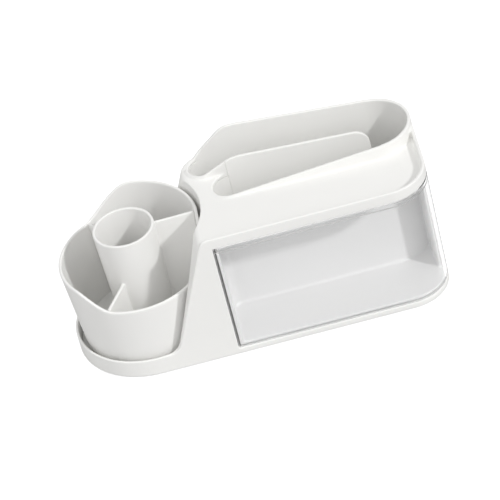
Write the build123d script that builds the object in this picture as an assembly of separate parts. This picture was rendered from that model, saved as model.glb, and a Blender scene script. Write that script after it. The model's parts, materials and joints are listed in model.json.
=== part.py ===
"""Desk organizer: a turning pen cup, a clear-fronted drawer, a shallow tray and a deep two-part pocket.

Frame: +X towards the drawer end, +Y towards the back, +Z up. The origin is on the desk, under the
middle of the body. All sizes are in millimetres.
"""
from build123d import *
import math
import os

# ---- whole body ----
body_length = 233.0
body_depth = 92.4
corner_radius = 25.3          # both right-hand corners, and the round end of the pocket
shell_wall = 2.2
foot_height = 0.8             # how far the feet stand out below the shell
deck_top = 87.0               # floor of the tray
deck_thickness = 2.2
lip_height = 5.2              # rim round the tray, above its floor

# ---- ring round the pen cup, and the sloping end of the shell beside it ----
ring_top = 13.3
ring_wall = 2.2
recess_flare = 5.4            # growth of the recess's radius from the base to the tray's rim
horn_foot_reach = 13.8        # from the cup's axis to where the sloping end meets the ring
horn_lean = 29.9              # how far the sloping end leans to the right up to the tray's rim
horn_foot_round = 9.0
horn_back_round = 15.0
horn_top_round = 4.0
lip_end_round = 6.0           # rounding where the tray's lip ends at the slope

# ---- pocket at the back: rim points are (to the right, up) from the back loop's centre and the deck ----
divider_wall = 2.0
divider_end_gap = 2.1         # from the divider's right end to the centre of the pocket's round end
divider_corner_round = 10.0
back_loop_reach = 14.1        # from the top of the sloping end to the centre of the back slot's round end
front_loop_reach = 12.1       # from there to the centre of the front slot's round end
back_ramp_foot = (-7.1, 0.0)
back_peak = (15.6, 18.5)
back_peak_round = 14.0
divider_ramp_foot = (-15.5, 0.4)
divider_ramp_bend = (-3.0, 2.4)
divider_bend_round = 12.0
divider_peak = (16.5, 11.4)
divider_peak_round = 22.0
divider_end_rise = 5.5
front_rim_foot = (-0.5, 0.0)  # where the rim of the front wall leaves the deck
round_end_reach = 4.8         # from the centre of the round end to where its rim gets level
round_end_rise = 9.2
rim_bend_round = 60.0

# ---- drawer ----
opening_reach = 0.5           # from the recess's widest point to the left edge of the opening
opening_sill = 4.0            # strip of shell under the drawer
drawer_gap = 0.5
drawer_side_gap = 1.5         # between the opening's left edge and the tray behind the panel
front_panel_wall = 2.4
panel_rim_height = 4.0        # thicker band along the panel's top edge
panel_rim_depth = 0.8
drawer_wall = 1.6
drawer_floor_rise = 3.2       # top of the drawer's floor above the opening's lower edge
drawer_floor_thickness = 2.2
drawer_top_room = 4.8
drawer_corner_round = 8.0     # outer back left corner, beside the recess
drawer_floor_round = 2.0
drawer_tail_reach = 9.0       # how far the drawer runs on behind its back wall, beside the pocket's round end
bay_back_gap = 0.5
recess_gap = 0.3
runner_gap = 0.3
runner_width = 8.0
runner_inset = 18.0
runner_setback = 6.0

# ---- base plate, feet and screws ----
base_thickness = 2.2
base_fit = 0.2
foot_radius = 5.0
foot_recess = 0.7
foot_fit = 0.2
cup_foot_back = 26.7          # from the cup's axis to the two feet under the cup, and their half spacing
cup_foot_spread = 21.0
middle_foot_x = 8.0
middle_foot_inset = 12.2
end_foot_inset_x = 19.5
end_foot_inset_y = 18.2
boss_radius = 3.7
boss_height = 22.0
boss_edge = 5.2               # from the front and back faces to the bosses' centres
boss_front_back = 5.4         # how far left of the sloping end's top they stand
boss_rear_back = 9.4
boss_end_edge = 5.6           # the third boss stands inside the pocket's round end
screw_radius = 1.45
screw_hole_fit = 0.05
screw_length = 14.0
screw_head_radius = 2.8
screw_head_height = 1.2
screw_head_fit = 0.3

# ---- pen cup ----
cup_base_gap = 1.3            # under the cup's wall
cup_foot_gap = 3.08           # beside the cup's wall at its foot
cup_top_gap = 2.25            # and at its high rim
cup_wall = 2.0
cup_floor_thickness = 2.0
cup_high = 82.0               # rim of the tall compartment
cup_middle = 63.5
cup_low = 52.0
high_to_middle = (78.0, 125.0)        # angles from +X, round to the left, where the rim changes height
middle_to_low = (212.0, 246.0)
low_to_high = (340.0, 364.0)
rim_points = 60
tube_top = 83.0
tube_top_radius = 19.2
tube_taper = 0.028
tube_wall = 1.8
vane_wall = 2.0
vane_angles = (1.0, 120.0, 241.0)
vane_fit = 0.25
dome_radius = 12.0
dome_height = 6.3

# ---- turntable under the cup ----
turntable_edge = 1.0          # inside the cup's wall
turntable_thickness = 2.0
turning_gap = 0.3
ball_radius = 1.2
ball_count = 12
ball_inset = 9.0              # from the turntable's edge to the balls' circle
ball_fit = 0.1
cage_thickness = 1.0
cage_half_width = 3.4
post_radius = 4.5
washer_radius = 9.0
washer_thickness = 1.0
pivot_screw_radius = 1.5
pivot_screw_length = 6.0
pivot_head_radius = 3.4
pivot_head_height = 1.8
peg_radius = 2.0
peg_height = 1.5
peg_inset = 4.5               # from the turntable's edge to the pegs' circle
peg_fit = 0.15
peg_count = 3

# ---- worked out from the sizes above ----
right_x = body_length / 2
left_x = -body_length / 2
front_y = -body_depth / 2
back_y = body_depth / 2
cup_x = left_x + body_depth / 2
shell_bottom = foot_height
lip_top = deck_top + lip_height
deck_under = deck_top - deck_thickness
base_top = shell_bottom + base_thickness
recess_base_radius = body_depth / 2 - ring_wall
recess_top_radius = recess_base_radius + recess_flare
horn_foot_x = cup_x + horn_foot_reach
horn_top_x = horn_foot_x + horn_lean
pocket_front_y = back_y - 2 * corner_radius
pocket_middle_y = back_y - corner_radius
pocket_end_x = right_x - corner_radius
back_loop_x = horn_top_x + back_loop_reach
front_loop_x = back_loop_x + front_loop_reach
divider_left_x = front_loop_x
divider_right_x = pocket_end_x - divider_end_gap
opening_left_x = cup_x + recess_top_radius + opening_reach
opening_bottom = shell_bottom + opening_sill
opening_top = deck_under
opening_back_y = front_y + corner_radius
panel_left_x = opening_left_x + drawer_gap
drawer_left_x = opening_left_x + drawer_side_gap
drawer_right_x = right_x - shell_wall - drawer_gap
drawer_back_y = pocket_front_y - bay_back_gap
drawer_tail_y = drawer_back_y + drawer_tail_reach
drawer_floor_top = opening_bottom + drawer_floor_rise
drawer_floor_bottom = drawer_floor_top - drawer_floor_thickness
drawer_wall_top = opening_top - drawer_top_room
runner_top = drawer_floor_bottom - runner_gap
cup_foot_z = base_top + cup_base_gap
table_bottom = base_top + 2 * ball_radius + turning_gap
table_top = table_bottom + turntable_thickness
post_top = table_top + turning_gap
cup_floor_top = table_top + cup_floor_thickness
dome_top = table_top + dome_height
far = 400.0                   # more than the whole object, for cuts that run right through

foot_places = {
    "foot_cup_front": (cup_x - cup_foot_back, -cup_foot_spread),
    "foot_cup_back": (cup_x - cup_foot_back, cup_foot_spread),
    "foot_middle_front": (middle_foot_x, front_y + middle_foot_inset),
    "foot_middle_back": (middle_foot_x, back_y - middle_foot_inset),
    "foot_end_front": (right_x - end_foot_inset_x, front_y + end_foot_inset_y),
    "foot_end_back": (right_x - end_foot_inset_x, back_y - end_foot_inset_y),
}
boss_places = [
    (horn_top_x - boss_front_back, front_y + boss_edge),
    (horn_top_x - boss_rear_back, back_y - boss_edge),
    (right_x - boss_end_edge, pocket_middle_y),
]


# ---- shapes that several pieces use ----
def recess_radius(z):
    """Radius of the flared recess that the cup turns in."""
    return recess_base_radius + recess_flare * (z - base_top) / (lip_top - base_top)


def cup_radius(z):
    """Outer radius of the flared cup at height z, which leaves a narrowing gap to the recess."""
    share = (z - cup_foot_z) / (cup_high - cup_foot_z)
    return recess_radius(z) - cup_foot_gap - share * (cup_top_gap - cup_foot_gap)


def tube_radius(z):
    """Outer radius of the pen tube, which narrows a little towards its foot."""
    return tube_top_radius - tube_taper * (tube_top - z)


def block(x0, x1, y0, y1, z0, z1):
    """Rectangular block between two corners."""
    shape = Box(x1 - x0, y1 - y0, z1 - z0, align=(Align.MIN, Align.MIN, Align.MIN))
    return Pos(x0, y0, z0) * shape


def rod(x, y, z0, z1, radius):
    """Upright cylinder."""
    shape = Cylinder(radius, z1 - z0, align=(Align.CENTER, Align.CENTER, Align.MIN))
    return Pos(x, y, z0) * shape


def flared(z0, z1, radius, extra=0.0):
    """Upright cone on the cup's axis, with its radius given by a function of height."""
    shape = Cone(radius(z0) + extra, radius(z1) + extra, z1 - z0, align=(Align.CENTER, Align.CENTER, Align.MIN))
    return Pos(cup_x, 0, z0) * shape


def slab(plan, z0, z1):
    """A flat plan pulled up between two heights."""
    return Pos(0, 0, z0) * extrude(plan, z1 - z0)


def side_prism(outline, y0, y1):
    """A closed outline of (x, z) points, pulled back from y0 to y1."""
    return Pos(0, y0, 0) * extrude(Plane.XZ * make_face(outline), y1 - y0, dir=(0, 1, 0))


def body_plan(inset):
    """Outline of the body: a full round at the cup, two rounded corners at the drawer end."""
    half = body_depth / 2 - inset
    radius = corner_radius - inset
    end_x = right_x - inset
    straight = end_x - radius - cup_x
    plan = Pos(cup_x, 0) * Circle(half)
    plan += Pos(cup_x + straight / 2, 0) * Rectangle(straight, 2 * half)
    plan += Pos(end_x - 2 * radius, 0) * RectangleRounded(4 * radius, 2 * half, radius)
    return plan


def slot_plan(x0, y0, y1):
    """A straight slot with a round left end, open to the round end of the pocket."""
    middle = (y0 + y1) / 2
    plan = Pos(x0, middle) * Circle((y1 - y0) / 2)
    plan += Pos((x0 + pocket_end_x) / 2, middle) * Rectangle(pocket_end_x - x0, y1 - y0)
    return plan


def pocket_plan(grow):
    """Plan of the pocket's hollow, made larger all round by grow."""
    half_divider = divider_wall / 2
    plan = slot_plan(back_loop_x, pocket_middle_y + half_divider - grow, back_y - shell_wall + grow)
    plan += slot_plan(front_loop_x, pocket_front_y + shell_wall - grow, pocket_middle_y - half_divider + grow)
    plan += Pos(pocket_end_x, pocket_middle_y) * Circle(corner_radius - shell_wall + grow)
    groove = pocket_end_x - divider_left_x
    plan += Pos(divider_left_x + groove / 2, pocket_middle_y) * Rectangle(groove, 2 * divider_wall)
    return plan


def rim_point(offset):
    """A point of a rim, from its offset to the back loop's centre and the deck."""
    return (back_loop_x + offset[0], deck_top + offset[1])


def right_of_horn(inset, top, top_round):
    """Everything below the ring's top or right of the sloping end, up to top, with walls of inset taken off."""
    rise = lip_top - ring_top
    run = horn_top_x - horn_foot_x
    shelf = ring_top - inset
    foot_x = horn_foot_x + inset * math.hypot(rise, run) / rise
    top_x = foot_x + run * (top - shelf) / rise
    corners = [(-far, 0), (-far, shelf), (foot_x, shelf), (top_x, top), (far, top), (far, 0)]
    outline = FilletPolyline(*corners, radius=[0, 0, horn_foot_round, top_round, 0, 0], close=True)
    return side_prism(outline, front_y - 1, back_y + 1)


def sloped_block(inset, top):
    """The body right of the sloping end, with its upright back edge rounded, from the desk up to top."""
    rise = lip_top - ring_top
    run = horn_top_x - horn_foot_x
    shift = inset * math.hypot(rise, run) / rise
    foot_x = horn_foot_x + shift - run * ring_top / rise
    corners = [(foot_x, 0), (horn_top_x + shift, lip_top), (far, lip_top), (far, 0)]
    body = slab(body_plan(inset), 0, top) & side_prism(Polyline(*corners, close=True), front_y - 1, back_y + 1)
    back_edges = [e for e in body.edges().filter_by(GeomType.LINE) if abs(e.center().Y - back_y + inset) < 0.1]
    slopes = [e for e in back_edges if e.center().X < horn_top_x + shift and e.length > deck_thickness]
    return fillet(slopes, horn_back_round - inset)


def under_rim(points, rounds, y0, y1):
    """Space below a rim that is drawn through (x, z) points with rounded bends, down to the shell's foot."""
    corners = points + [(points[-1][0], shell_bottom), (points[0][0], shell_bottom)]
    return side_prism(FilletPolyline(*corners, radius=rounds + [0, 0], close=True), y0, y1)


def under_back_rim(y0, y1):
    """Space below the back wall's rim: a ramp, a rounded peak and a gentle fall to the round end."""
    level = deck_top + round_end_rise
    points = [rim_point(back_ramp_foot), rim_point(back_peak)]
    points += [(pocket_end_x + round_end_reach, level), (far, level)]
    return under_rim(points, [0, back_peak_round, rim_bend_round, 0], y0, y1)


def under_divider_rim(y0, y1):
    """Space below the divider's rim: a bent ramp, a rounded peak, a gentle fall and a round corner."""
    points = [rim_point(divider_ramp_foot), rim_point(divider_ramp_bend), rim_point(divider_peak)]
    points += [(divider_right_x, deck_top + divider_end_rise)]
    return under_rim(points, [0, divider_bend_round, divider_peak_round, divider_corner_round], y0, y1)


def under_front_rim(y0, y1):
    """Space below the front wall's rim, which rises straight from the deck to the round end."""
    level = deck_top + round_end_rise
    points = [rim_point(front_rim_foot), (pocket_end_x + round_end_reach, level), (far, level)]
    return under_rim(points, [0, rim_bend_round, 0], y0, y1)


# ---- shell ----
def make_housing():
    """One moulding: skirt, ring, sloping end, tray with its lip, and the raised walls of the pocket."""
    raised_top = rim_point(back_peak)[1] + 1
    body = sloped_block(0, deck_top) & slab(body_plan(0), shell_bottom, deck_top)
    body += slab(body_plan(0), shell_bottom, ring_top)
    body += slab(body_plan(0), ring_top, deck_top) & block(-far, pocket_end_x, front_y, 0, ring_top, deck_top)
    body &= right_of_horn(0, deck_top, horn_top_round)
    lip = slab(body_plan(0), deck_under, lip_top) - slab(body_plan(shell_wall), deck_under, lip_top)
    lip &= block(-far, far, front_y, pocket_middle_y, deck_under, lip_top)
    body += lip & right_of_horn(0, lip_top, lip_end_round)
    walls = slab(pocket_plan(shell_wall), deck_under, raised_top) & slab(body_plan(0), deck_under, raised_top)
    back_walls = walls & block(-far, far, pocket_middle_y + corner_radius / 2, back_y, deck_under, raised_top)
    back_walls &= under_back_rim(front_y, back_y)
    end_walls = walls & block(divider_right_x, far, pocket_middle_y, back_y, deck_under, raised_top)
    end_walls &= under_back_rim(front_y, back_y)
    loop_y1 = pocket_middle_y + corner_radius / 2
    loop_y0 = pocket_middle_y - divider_wall / 2
    loop_walls = walls & block(-far, divider_left_x, loop_y0, loop_y1, deck_under, raised_top)
    loop_walls &= under_divider_rim(front_y, back_y)
    front_x0 = rim_point(front_rim_foot)[0]
    front_walls = walls & block(front_x0, far, pocket_front_y, pocket_middle_y, deck_under, raised_top)
    front_walls &= under_front_rim(front_y, back_y)
    body = body + back_walls + end_walls + loop_walls + front_walls
    hollow = sloped_block(shell_wall, deck_under)
    hollow -= flared(0, lip_top, recess_radius, shell_wall)
    hollow -= block(opening_left_x - shell_wall, opening_left_x, front_y, pocket_front_y, 0, deck_under)
    body -= hollow
    body -= slab(body_plan(shell_wall), 0, base_top)
    body -= flared(base_top, raised_top, recess_radius)
    body -= slab(pocket_plan(0), deck_under - 1, raised_top)
    body -= block(opening_left_x, far, front_y - 1, opening_back_y, opening_bottom, opening_top)
    inside = slab(body_plan(0), base_top, base_top + boss_height)
    for x, y in boss_places:
        body += rod(x, y, base_top, base_top + boss_height, boss_radius) & inside
    for x, y in boss_places:
        body -= rod(x, y, 0, base_top + screw_length, screw_radius + screw_hole_fit)
    return body


def make_pocket_liner():
    """Wall of the deep pocket below the deck; the shell's back wall closes it behind."""
    wall = slab(pocket_plan(shell_wall), base_top, deck_under) - slab(pocket_plan(0), base_top, deck_under)
    return wall & sloped_block(shell_wall, deck_under)


def make_divider():
    """Upright plate that parts the pocket in two and stops short of its round end."""
    y0 = pocket_middle_y - divider_wall / 2
    plate = under_divider_rim(y0, y0 + divider_wall)
    return plate & block(divider_left_x, divider_right_x, y0, y0 + divider_wall, base_top, far)


# ---- base ----
def make_base_plate():
    """Bottom cover, with the turntable's post, screw holes and a seat for each foot."""
    plate = slab(body_plan(shell_wall + base_fit), shell_bottom, base_top)
    plate += rod(cup_x, 0, base_top, post_top, post_radius)
    plate -= rod(cup_x, 0, post_top - pivot_screw_length, post_top, pivot_screw_radius + screw_hole_fit)
    for x, y in boss_places:
        plate -= rod(x, y, 0, base_top, screw_radius + screw_head_fit)
        plate -= rod(x, y, 0, shell_bottom + screw_head_height, screw_head_radius + screw_head_fit)
    for x, y in foot_places.values():
        plate -= rod(x, y, 0, shell_bottom + foot_recess, foot_radius + foot_fit)
    return plate


def make_foot(x, y):
    """Soft round foot, seated in the base plate."""
    foot = rod(x, y, 0, shell_bottom + foot_recess, foot_radius)
    return chamfer(foot.faces().sort_by(Axis.Z)[0].edges(), foot_height / 4)


def make_base_screws():
    """Screws that hold the base plate to the shell's bosses."""
    screws = []
    for x, y in boss_places:
        seat = shell_bottom + screw_head_height
        head = rod(x, y, shell_bottom + screw_head_height / 8, seat, screw_head_radius)
        shank = rod(x, y, seat, base_top + screw_length, screw_radius)
        screws.append(head + shank)
    return Compound(children=screws)


def make_runner(x):
    """Slippery strip that the drawer slides on."""
    return block(x, x + runner_width, front_y + runner_setback, drawer_back_y, base_top, runner_top)


# ---- drawer ----
def make_drawer_front():
    """Clear panel that follows the front of the shell and wraps round its corner."""
    z0 = opening_bottom + drawer_gap
    z1 = opening_top - drawer_gap
    panel = slab(body_plan(0), z0, z1) - slab(body_plan(front_panel_wall), z0, z1 - panel_rim_height)
    panel -= slab(body_plan(front_panel_wall + panel_rim_depth), z0, z1)
    return panel & block(panel_left_x, far, front_y - 1, opening_back_y - drawer_gap, z0, z1)


def drawer_tail(inset, z0, z1):
    """The drawer's narrow part beside the pocket's round end, with walls of inset taken off."""
    tail = block(pocket_end_x, drawer_right_x - inset, opening_back_y, drawer_tail_y - inset, z0, z1)
    return tail - rod(pocket_end_x, pocket_middle_y, 0, far, corner_radius + bay_back_gap + inset)


def make_drawer_tray():
    """Open-topped drawer behind the clear panel: floor, left side, back, and right side behind the corner."""
    z0 = drawer_floor_bottom
    outer = block(drawer_left_x, drawer_right_x, front_y, drawer_back_y, z0, drawer_wall_top)
    back_edges = outer.edges().filter_by(Axis.Z).sort_by(Axis.Y)[-2:]
    outer = fillet(back_edges.sort_by(Axis.X)[:1], drawer_corner_round)
    outer += drawer_tail(0, z0, drawer_wall_top)
    outer -= flared(0, lip_top, recess_radius, shell_wall + recess_gap)
    outer &= slab(body_plan(front_panel_wall), z0, drawer_wall_top)
    inside = block(drawer_left_x + drawer_wall, drawer_right_x - drawer_wall, front_y,
                   drawer_back_y - drawer_wall, drawer_floor_top, drawer_wall_top)
    back_edges = inside.edges().filter_by(Axis.Z).sort_by(Axis.Y)[-2:].sort_by(Axis.X)
    inside = fillet(back_edges[:1], drawer_corner_round - drawer_wall)
    floor_edges = inside.faces().sort_by(Axis.Z)[0].edges().sort_by(Axis.Y)[1:]
    inside = fillet(floor_edges, drawer_floor_round)
    inside += drawer_tail(drawer_wall, drawer_floor_top, drawer_wall_top)
    inside -= flared(0, lip_top, recess_radius, shell_wall + recess_gap + drawer_wall)
    corner = block(drawer_right_x - corner_radius, drawer_right_x, front_y,
                   opening_back_y - drawer_gap, drawer_floor_top, drawer_wall_top)
    return outer - inside - corner


# ---- pen cup ----
def blend(value, start, end, before, after):
    """Smooth step from one height to the next."""
    share = min(max((value - start) / (end - start), 0.0), 1.0)
    return before + (after - before) * share * share * (3 - 2 * share)


def rim_height(angle):
    """Height of the cup's rim at an angle from +X, in degrees."""
    turn = (angle - low_to_high[1]) % 360.0 + low_to_high[1] - 360.0
    height = blend(turn, *high_to_middle, cup_high, cup_middle)
    if turn > middle_to_low[0]:
        height = blend(turn, *middle_to_low, cup_middle, cup_low)
    if turn > low_to_high[0]:
        height = blend(turn, *low_to_high, cup_low, cup_high)
    return height


def above_rim():
    """Everything above the waved rim, bounded below by a surface that is level along each radius."""
    rings = []
    for radius in (recess_top_radius + 5, tube_top_radius / 2):
        points = []
        for step in range(rim_points):
            angle = math.radians(step * 360.0 / rim_points)
            height = rim_height(step * 360.0 / rim_points)
            points.append((cup_x + radius * math.cos(angle), radius * math.sin(angle), height))
        rings.append(Spline(*points, periodic=True))
    surface = Face.make_surface_from_curves(rings[0].edge(), rings[1].edge())
    return extrude(surface, amount=tube_top, dir=(0, 0, 1))


def make_cup_shell():
    """Outer wall of the cup with a waved rim, and its floor with a dome over the pivot."""
    top = cup_high + 3
    shell = flared(cup_foot_z, top, cup_radius)
    shell -= flared(cup_floor_top, top + 1, cup_radius, -cup_wall)
    shell -= flared(cup_foot_z - 1, table_top, cup_radius, -cup_wall)
    shell += rod(cup_x, 0, table_top, dome_top, dome_radius)
    shell -= rod(cup_x, 0, table_top - 1, dome_top - cup_floor_thickness, dome_radius - cup_floor_thickness)
    for x, y in peg_places():
        shell -= rod(x, y, table_top - 1, cup_floor_top + 1, peg_radius + peg_fit)
    return shell - above_rim()


def make_cup_core():
    """Central pen tube and the three upright vanes that part the cup."""
    tube = flared(cup_floor_top, tube_top, tube_radius)
    core = tube
    for angle in vane_angles:
        top = rim_height(angle)
        reach = block(0, recess_top_radius, -vane_wall / 2, vane_wall / 2, cup_floor_top, top)
        core += Pos(cup_x, 0, 0) * Rot(0, 0, angle) * reach
    core &= flared(cup_floor_top, tube_top + 1, cup_radius, -cup_wall - vane_fit)
    return core - flared(cup_floor_top - 1, tube_top + 1, tube_radius, -tube_wall)


# ---- turntable ----
def turntable_radius():
    """Radius that fits inside the foot of the cup's wall."""
    return cup_radius(cup_foot_z) - cup_wall - turntable_edge


def ball_circle():
    """Radius of the circle that the balls run on."""
    return turntable_radius() - ball_inset


def peg_places():
    """Centres of the pegs that turn the cup with its turntable."""
    circle = turntable_radius() - peg_inset
    places = []
    for index in range(peg_count):
        angle = math.radians(index * 360.0 / peg_count + 60.0)
        places.append((cup_x + circle * math.cos(angle), circle * math.sin(angle)))
    return places


def make_turntable():
    """Disc on the pivot post, with pegs that fit the cup's floor."""
    table = rod(cup_x, 0, table_bottom, table_top, turntable_radius())
    for x, y in peg_places():
        table += rod(x, y, table_top, table_top + peg_height, peg_radius)
    return table - rod(cup_x, 0, 0, far, post_radius + turning_gap)


def ball_places():
    """Centres of the balls on their circle."""
    places = []
    for index in range(ball_count):
        angle = math.radians(index * 360.0 / ball_count)
        places.append((cup_x + ball_circle() * math.cos(angle), ball_circle() * math.sin(angle)))
    return places


def make_ball_cage():
    """Flat ring that spaces the balls."""
    middle = base_top + ball_radius
    z0 = middle - cage_thickness / 2
    cage = rod(cup_x, 0, z0, z0 + cage_thickness, ball_circle() + cage_half_width)
    cage -= rod(cup_x, 0, 0, far, ball_circle() - cage_half_width)
    for x, y in ball_places():
        cage -= rod(x, y, 0, far, ball_radius + ball_fit)
    return cage


def make_bearing_balls():
    """Balls that the turntable rolls on."""
    balls = []
    for x, y in ball_places():
        balls.append(Pos(x, y, base_top + ball_radius) * Sphere(ball_radius))
    return Compound(children=balls)


def make_pivot_washer():
    """Washer on the post that keeps the turntable down."""
    washer = rod(cup_x, 0, post_top, post_top + washer_thickness, washer_radius)
    return washer - rod(cup_x, 0, 0, far, pivot_screw_radius + screw_hole_fit)


def make_pivot_screw():
    """Screw through the washer into the post."""
    seat = post_top + washer_thickness
    shank = rod(cup_x, 0, post_top - pivot_screw_length, seat, pivot_screw_radius)
    return shank + rod(cup_x, 0, seat, seat + pivot_head_height, pivot_head_radius)


pieces = {
    "housing": make_housing(),
    "pocket_liner": make_pocket_liner(),
    "pocket_divider": make_divider(),
    "base_plate": make_base_plate(),
    "base_screws": make_base_screws(),
    "runner_left": make_runner(drawer_left_x + runner_inset),
    "runner_right": make_runner(drawer_right_x - runner_inset - runner_width),
    "drawer_front": make_drawer_front(),
    "drawer_tray": make_drawer_tray(),
    "cup_shell": make_cup_shell(),
    "cup_core": make_cup_core(),
    "turntable": make_turntable(),
    "ball_cage": make_ball_cage(),
    "bearing_balls": make_bearing_balls(),
    "pivot_washer": make_pivot_washer(),
    "pivot_screw": make_pivot_screw(),
}
for foot_name, (foot_x, foot_y) in foot_places.items():
    pieces[foot_name] = make_foot(foot_x, foot_y)

os.makedirs("parts", exist_ok=True)
for node, shape in pieces.items():
    export_step(shape, f"parts/{node}.step")
    print(node, "solids", len(shape.solids()), "volume", round(shape.volume), "valid", shape.is_valid)
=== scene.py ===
# %% [markdown]
# # Desk organizer with a turning pen cup, a drawer, a tray and a deep pocket
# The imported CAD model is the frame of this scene. Each step below dresses one part of it, and every
# piece rides on the CAD body that carries it, so that the cup still turns and the drawer still slides.

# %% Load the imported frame
import bmesh
import bpy
import json
import math
from mathutils import Matrix, Vector


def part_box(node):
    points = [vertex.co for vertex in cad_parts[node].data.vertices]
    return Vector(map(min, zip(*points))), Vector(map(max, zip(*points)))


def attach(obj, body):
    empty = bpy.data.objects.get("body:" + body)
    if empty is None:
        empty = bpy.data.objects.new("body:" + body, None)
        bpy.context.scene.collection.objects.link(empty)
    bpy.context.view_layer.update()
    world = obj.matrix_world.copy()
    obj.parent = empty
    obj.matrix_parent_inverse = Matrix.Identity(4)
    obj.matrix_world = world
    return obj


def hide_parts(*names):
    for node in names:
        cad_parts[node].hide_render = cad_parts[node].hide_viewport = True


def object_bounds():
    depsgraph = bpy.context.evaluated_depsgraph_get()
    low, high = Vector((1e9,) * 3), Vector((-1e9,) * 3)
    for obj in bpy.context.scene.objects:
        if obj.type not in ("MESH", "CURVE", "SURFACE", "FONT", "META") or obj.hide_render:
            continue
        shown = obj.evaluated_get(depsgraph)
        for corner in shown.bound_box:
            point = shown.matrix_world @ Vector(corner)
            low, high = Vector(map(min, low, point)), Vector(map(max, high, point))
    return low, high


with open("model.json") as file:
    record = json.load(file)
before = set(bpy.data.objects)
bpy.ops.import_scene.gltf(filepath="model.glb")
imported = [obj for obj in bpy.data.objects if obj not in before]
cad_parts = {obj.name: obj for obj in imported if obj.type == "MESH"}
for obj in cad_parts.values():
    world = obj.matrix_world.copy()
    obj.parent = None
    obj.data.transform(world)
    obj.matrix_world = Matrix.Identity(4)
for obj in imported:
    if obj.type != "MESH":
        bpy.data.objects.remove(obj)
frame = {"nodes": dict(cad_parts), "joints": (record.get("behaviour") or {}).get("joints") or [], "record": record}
cad_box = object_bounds()
nodes = frame["nodes"]

# %% [markdown]
# ## Camera
# The photograph was taken from far away with a long lens, from above the front, with the camera
# rolled a little. The numbers come from fitting a perspective camera to the edges of the object.
# A camera looks along its own -Z, so its matrix holds image right, image up and the way back.

# %% Camera at the photograph's viewpoint
PHOTO_PIXELS = 500
FOCAL_PIXELS = 3374.8
SENSOR_MM = 36.0
CAMERA_REACH = 20.0
CAMERA_PLACE = Vector((0.0141, -1.6284, 1.3370))
CAMERA_TURN, CAMERA_RISE, CAMERA_ROLL = (math.radians(angle) for angle in (0.46, 38.52, 14.83))


def camera_matrix(place, turn, rise, roll):
    """Matrix of a camera that looks back at the object from a turn, a rise and a roll."""
    back = Vector((math.sin(turn) * math.cos(rise), -math.cos(turn) * math.cos(rise), math.sin(rise)))
    right = (-back).cross(Vector((0, 0, 1))).normalized()
    up = right.cross(-back)
    image_right = math.cos(roll) * right - math.sin(roll) * up
    image_up = math.sin(roll) * right + math.cos(roll) * up
    matrix = Matrix((image_right, image_up, back)).transposed().to_4x4()
    matrix.translation = place
    return matrix


camera_data = bpy.data.cameras.new("photo_camera")
camera_data.sensor_width = SENSOR_MM
camera_data.lens = FOCAL_PIXELS / PHOTO_PIXELS * SENSOR_MM
camera_data.clip_end = CAMERA_REACH
camera = bpy.data.objects.new("photo_camera", camera_data)
bpy.context.scene.collection.objects.link(camera)
camera.matrix_world = camera_matrix(CAMERA_PLACE, CAMERA_TURN, CAMERA_RISE, CAMERA_ROLL)
bpy.context.scene.camera = camera
print("lens", round(camera_data.lens, 1), "mm")

# %% [markdown]
# ## Lamps
# A white object on a white ground needs its form from the light. A key lamp from the front right throws the
# shadows inside the cup and the drawer to the left. A wide, soft lamp from the front left keeps the faces
# that look away from the key pale. Both are suns, so that their light is even over the whole object. The
# Standard view shows each colour about as it is written.

# %% Key and soft lamp
bpy.context.scene.view_settings.view_transform = "Standard"
KEY_FROM = Vector((0.64, -0.545, 0.62))
KEY_STRENGTH = 1.25
KEY_SPREAD = math.radians(4.0)
SOFT_FROM = Vector((-0.42, -0.58, 0.66))
SOFT_STRENGTH = 0.54
SOFT_SPREAD = math.radians(60.0)


def far_lamp(name, comes_from, strength, spread):
    """A lamp so far away that its light is even, as wide on the sky as its spread."""
    lamp_data = bpy.data.lights.new(name, "SUN")
    lamp_data.energy = strength
    lamp_data.angle = spread
    lamp = bpy.data.objects.new(name, lamp_data)
    bpy.context.scene.collection.objects.link(lamp)
    lamp.rotation_euler = comes_from.to_track_quat("Z", "Y").to_euler()
    print("lamp", name, "with strength", strength)


far_lamp("key", KEY_FROM, KEY_STRENGTH, KEY_SPREAD)
far_lamp("soft_left", SOFT_FROM, SOFT_STRENGTH, SOFT_SPREAD)

# %% [markdown]
# ## Helpers for node trees
# The world, the materials and the Geometry Nodes further down are all trees of nodes. One helper adds a
# node and feeds its inputs in one line, and another adds one step of arithmetic.

# %% Helpers for every node tree
def add_node(tree, kind, inputs=None, **settings):
    """Add a node with its settings, and feed its inputs with other nodes' outputs or with plain values."""
    made = tree.nodes.new(kind)
    for key, value in settings.items():
        setattr(made, key, value)
    for key, value in (inputs or {}).items():
        if isinstance(value, bpy.types.NodeSocket):
            tree.links.new(value, made.inputs[key])
        else:
            made.inputs[key].default_value = value
    return made


def calc(tree, operation, *values):
    """One arithmetic step on outputs or numbers."""
    return add_node(tree, "ShaderNodeMath", dict(enumerate(values)), operation=operation).outputs[0]


# %% [markdown]
# ## White world and floor
# The world is white to the eye, and fainter as a light, so that it only fills the shadows. The floor is a
# mid grey that takes the object's shadow, and is lifted to white where the eye sees it. In both, the Light
# Path node tells the eye's rays, straight or through the clear panel, from the rays that gather light.

# %% World
FILL_STRENGTH = 0.62
WHITE = (1.0, 1.0, 1.0, 1.0)


def seen_by_eye(tree):
    """1 on the eye's rays, straight or through clear plastic, and 0 on rays that gather light."""
    path = add_node(tree, "ShaderNodeLightPath")
    return calc(tree, "MAXIMUM", path.outputs["Is Camera Ray"], path.outputs["Is Transmission Ray"])


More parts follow.
